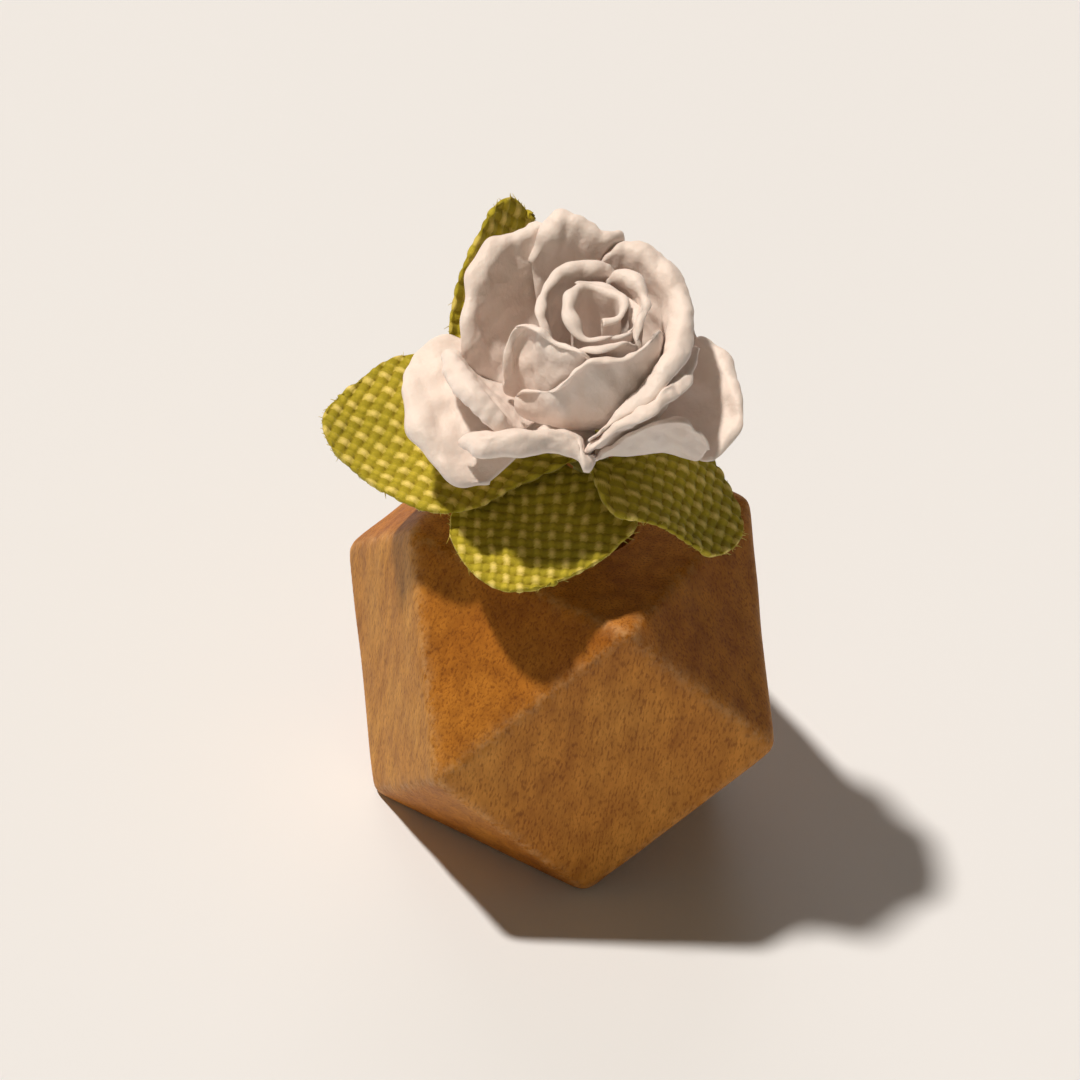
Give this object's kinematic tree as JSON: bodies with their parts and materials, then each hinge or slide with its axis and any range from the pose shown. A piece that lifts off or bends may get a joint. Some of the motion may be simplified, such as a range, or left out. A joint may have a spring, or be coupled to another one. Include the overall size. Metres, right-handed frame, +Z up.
{
  "type": "potted paper rose",
  "caption": "Miniature white paper rose with woven fabric leaves, its wire stem glued into the hole of a faceted wooden block that stands on a square face.",
  "frame": {"origin": "centre of the square face that the wooden block stands on", "axes": "+Z up, out of the block's drilled hole; -Y towards the square side face that the picture shows in front, +X to the right"},
  "size_m": [0.0246, 0.0205, 0.0361],
  "materials": {
    "wood": "sanded, unvarnished, fine dark flecks",
    "white_paper": "matt soft paper, slightly crinkled",
    "green_fabric": "coarse plain weave, dyed yellow-green, frayed cut edges",
    "green_tape": "matt crepe paper tape",
    "glue": "set hot-melt glue, satin"
  },
  "bodies": {
    "root": {"wood_block": "wood", "glue_plug": "glue", "stem_wire": "green_tape", "tape_wrap": "green_tape", "rolled_bud": "white_paper", "inner_petal_front": "white_paper", "inner_petal_right": "white_paper", "inner_petal_left": "white_paper", "cup_petal_front_right": "white_paper", "cup_petal_front": "white_paper", "middle_petal_right": "white_paper", "middle_petal_back": "white_paper", "middle_petal_left": "white_paper", "middle_petal_front_right": "white_paper", "middle_petal_front_left": "white_paper", "outer_petal_front": "white_paper", "outer_petal_front_right": "white_paper", "outer_petal_right": "white_paper", "outer_petal_left": "white_paper", "outer_petal_back_right": "white_paper", "outer_petal_back_left": "white_paper", "leaf_back_left": "green_fabric", "leaf_left": "green_fabric", "leaf_front": "green_fabric", "leaf_right": "green_fabric"}
  },
  "joints": []
}
